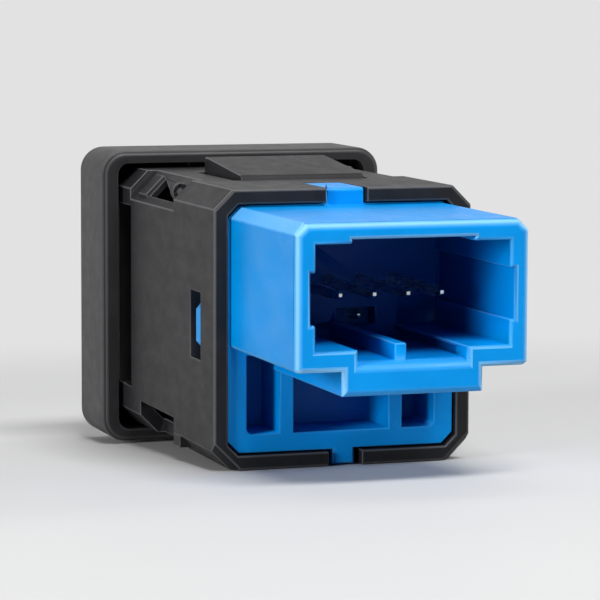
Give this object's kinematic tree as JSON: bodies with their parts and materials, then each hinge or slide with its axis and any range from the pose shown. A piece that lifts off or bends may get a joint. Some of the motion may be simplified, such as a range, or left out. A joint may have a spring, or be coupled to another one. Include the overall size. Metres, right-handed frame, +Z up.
{
  "type": "push-button switch",
  "caption": "Square snap-in panel push switch: black case and bezel, sprung latching button, and a blue keyed plug socket at the back with flat pins.",
  "frame": {"origin": "centre of the panel cut-out, in the plane where the bezel seats on the panel", "axes": "+Y from the button towards the connector, so the button faces -Y; +Z up; +X to the right seen from the button's side"},
  "size_m": [0.0234, 0.0471, 0.0234],
  "materials": {
    "case_plastic": "black moulded plastic, semi-gloss",
    "bezel_plastic": "black moulded plastic, fine satin grain",
    "blue_plastic": "bright blue moulded plastic, glossy",
    "button_plastic": "dark grey satin plastic",
    "lens_plastic": "milky clear plastic",
    "plunger_plastic": "natural acetal, satin",
    "frame_plastic": "dark grey moulded plastic, satin",
    "spring_steel": "bright drawn wire and strip",
    "contact_metal": "stamped brass, satin",
    "terminal_metal": "tin-plated brass, satin",
    "board_laminate": "green glass-fibre laminate",
    "lamp_body": "pale lamp body",
    "chip_ceramic": "dark ceramic",
    "guide_plastic": "clear moulded plastic"
  },
  "bodies": {
    "housing": {"bezel": "bezel_plastic", "housing_sleeve": "case_plastic", "connector_housing": "blue_plastic", "inner_frame": "frame_plastic", "circuit_board": "board_laminate", "indicator_led": "lamp_body", "backlight_led": "lamp_body", "indicator_resistor": "chip_ceramic", "backlight_resistor": "chip_ceramic", "terminal_pin_1": "terminal_metal", "terminal_pin_2": "terminal_metal", "terminal_pin_3": "terminal_metal", "terminal_pin_4": "terminal_metal", "terminal_sense": "terminal_metal", "fixed_contact_supply": "contact_metal", "fixed_contact_load": "contact_metal", "light_guide": "guide_plastic", "latch_clip": "spring_steel", "return_spring": "spring_steel"},
    "button": {"button_cap": "button_plastic", "indicator_lens": "lens_plastic", "plunger": "plunger_plastic", "contact_bridge": "contact_metal", "contact_spring": "spring_steel"},
    "latch": {"latch_pin": "spring_steel"}
  },
  "joints": [
    {"name": "button_press", "type": "slide", "parent": "housing", "child": "button", "axis": [0, 1, 0], "range_m": [0, 0.003], "stiffness_N_per_m": 600, "springref_m": -0.003, "deforming": ["return_spring"]},
    {"name": "latch_pin_swing", "type": "hinge", "parent": "housing", "child": "latch", "pos_m": [-0.0048, 0.0148, 0], "axis": [-1, 0, 0], "range_deg": [0, 15.1]}
  ],
  "couplings": [
    {"joint": "latch_pin_swing", "follows": "button_press", "rad_per_m": 87.266}
  ]
}
